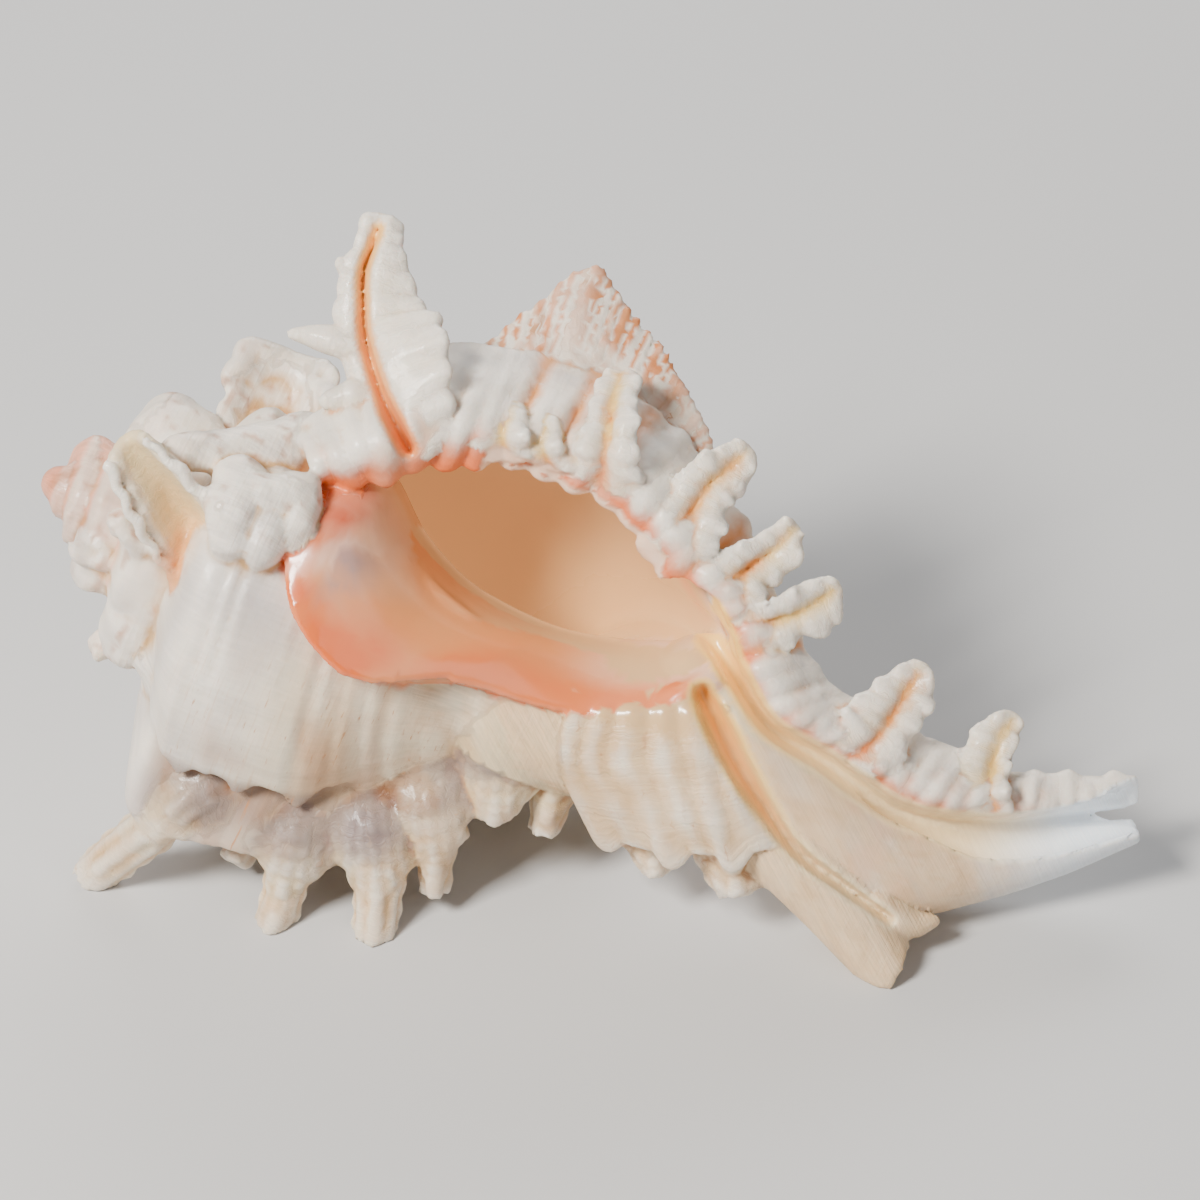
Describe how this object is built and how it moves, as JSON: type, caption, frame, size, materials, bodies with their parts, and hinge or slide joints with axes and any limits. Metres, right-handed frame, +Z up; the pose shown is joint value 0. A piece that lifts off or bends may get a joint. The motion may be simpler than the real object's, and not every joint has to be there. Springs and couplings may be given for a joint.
{
  "type": "ramose murex shell",
  "caption": "Coiled sea snail shell with a knobbly spire, a wide smooth aperture, a slit siphonal canal and leafy hollow fronds along its varices, lying on worn frond tips.",
  "frame": {"origin": "centre of the bounding box at the floor that the shell rests on", "axes": "+X from the spire towards the tip of the siphonal canal, +Y away from the side that the aperture faces, +Z up"},
  "size_m": [0.1766, 0.0938, 0.1012],
  "materials": {
    "shell": "satin"
  },
  "bodies": {
    "root": {"shell": "shell"}
  },
  "joints": []
}
